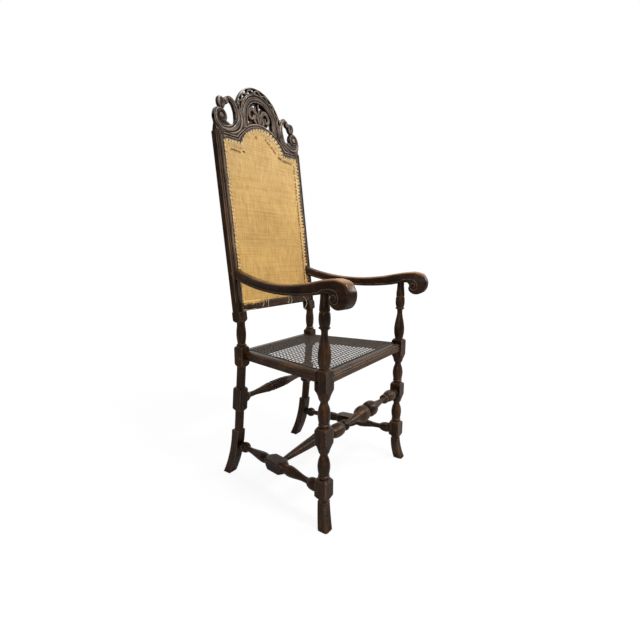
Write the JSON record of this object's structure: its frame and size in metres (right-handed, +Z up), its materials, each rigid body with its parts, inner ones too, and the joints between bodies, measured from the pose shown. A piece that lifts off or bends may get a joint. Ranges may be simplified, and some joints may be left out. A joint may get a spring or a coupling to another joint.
{
  "type": "high-backed open armchair",
  "caption": "High-backed open armchair with turned legs and stretchers, a caned seat, scrolled arms, and a burlap-covered back under a carved and pierced crest.",
  "frame": {"origin": "on the floor, under the middle of the chair's overall width and depth", "axes": "+Z up; the chair faces -Y; +X is the sitter's left"},
  "size_m": [0.5552, 0.5657, 1.3381],
  "materials": {
    "dark_wood": "satin",
    "worn_wood": "satin",
    "cane": "matte",
    "burlap": "matte",
    "tack_iron": "matte"
  },
  "bodies": {
    "root": {"front_leg_left": "dark_wood", "front_leg_right": "dark_wood", "rear_post_left": "dark_wood", "rear_post_right": "dark_wood", "seat_rail_front": "dark_wood", "seat_rail_back": "dark_wood", "seat_rail_left": "dark_wood", "seat_rail_right": "dark_wood", "side_stretcher_left": "dark_wood", "side_stretcher_right": "dark_wood", "medial_stretcher": "dark_wood", "front_stretcher": "dark_wood", "rear_stretcher": "dark_wood", "arm_left": "worn_wood", "arm_right": "worn_wood", "crest_rail": "dark_wood", "lower_back_rail": "dark_wood", "cane_seat": "cane", "burlap_cover": "burlap", "burlap_tacks": "tack_iron", "seat_frame_pegs": "worn_wood", "back_frame_pegs": "worn_wood", "arm_pegs": "worn_wood"}
  },
  "joints": []
}
